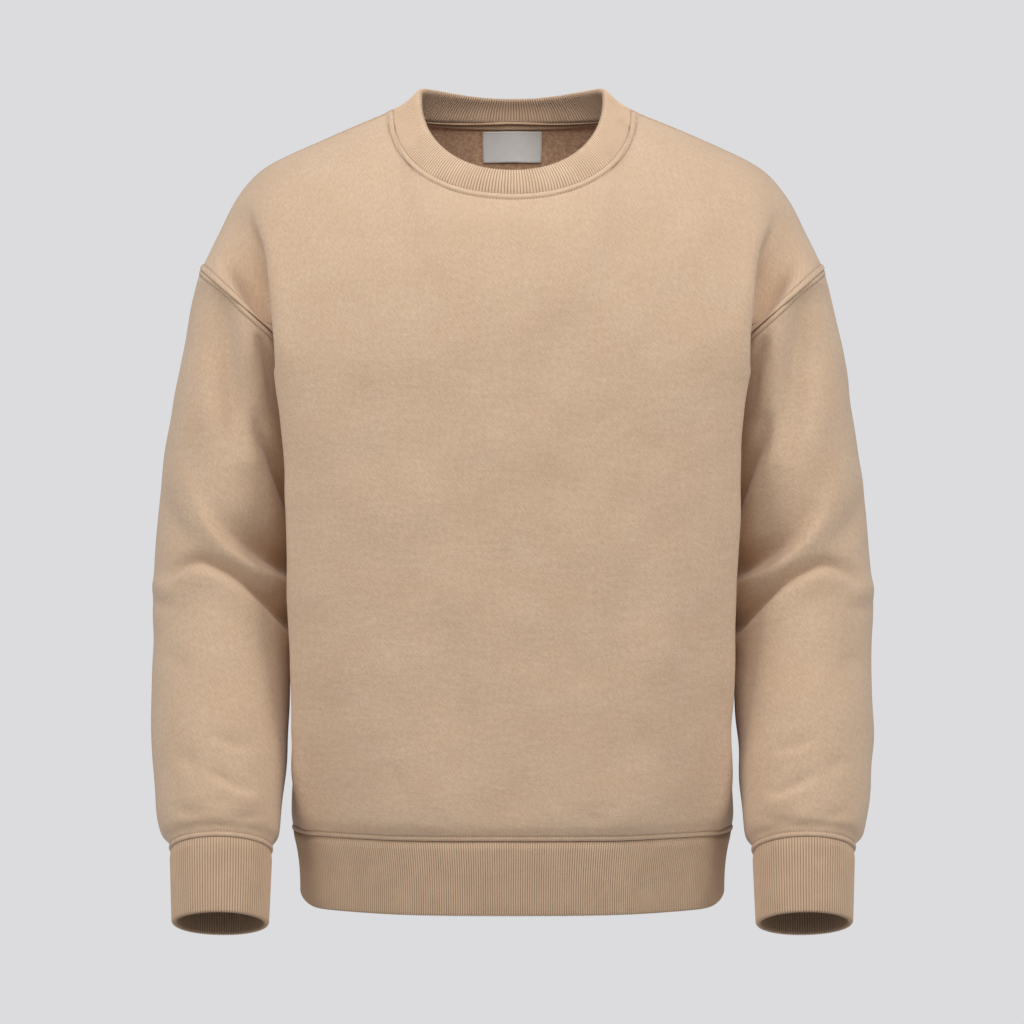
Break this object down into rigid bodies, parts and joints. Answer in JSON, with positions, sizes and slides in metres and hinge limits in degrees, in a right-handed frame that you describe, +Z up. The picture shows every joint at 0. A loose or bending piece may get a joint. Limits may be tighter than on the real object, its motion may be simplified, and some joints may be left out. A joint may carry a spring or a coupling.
{
  "type": "crewneck sweatshirt",
  "caption": "Long-sleeved crewneck sweatshirt in plain fleece, hollow as when worn, with ribbed neckband, cuffs and hem band.",
  "frame": {"origin": "between the shoulders on the garment's middle plane, level with the points where the neckband meets the shoulder seams", "axes": "+Z up the wearer's body, -Y out of the chest, +X towards the wearer's left hand"},
  "size_m": [0.626, 0.2479, 0.7306],
  "materials": {
    "fleece": "brushed cotton fleece, matt",
    "rib_knit": "cotton rib knit, matt",
    "tape": "cotton twill tape, matt",
    "label_satin": "woven satin, soft sheen"
  },
  "bodies": {
    "root": {"front": "fleece", "back": "fleece", "sleeve_left": "fleece", "sleeve_right": "fleece", "neckband": "rib_knit", "cuff_left": "rib_knit", "cuff_right": "rib_knit", "hem_band": "rib_knit", "neck_tape": "tape", "neck_label": "label_satin"}
  },
  "joints": []
}
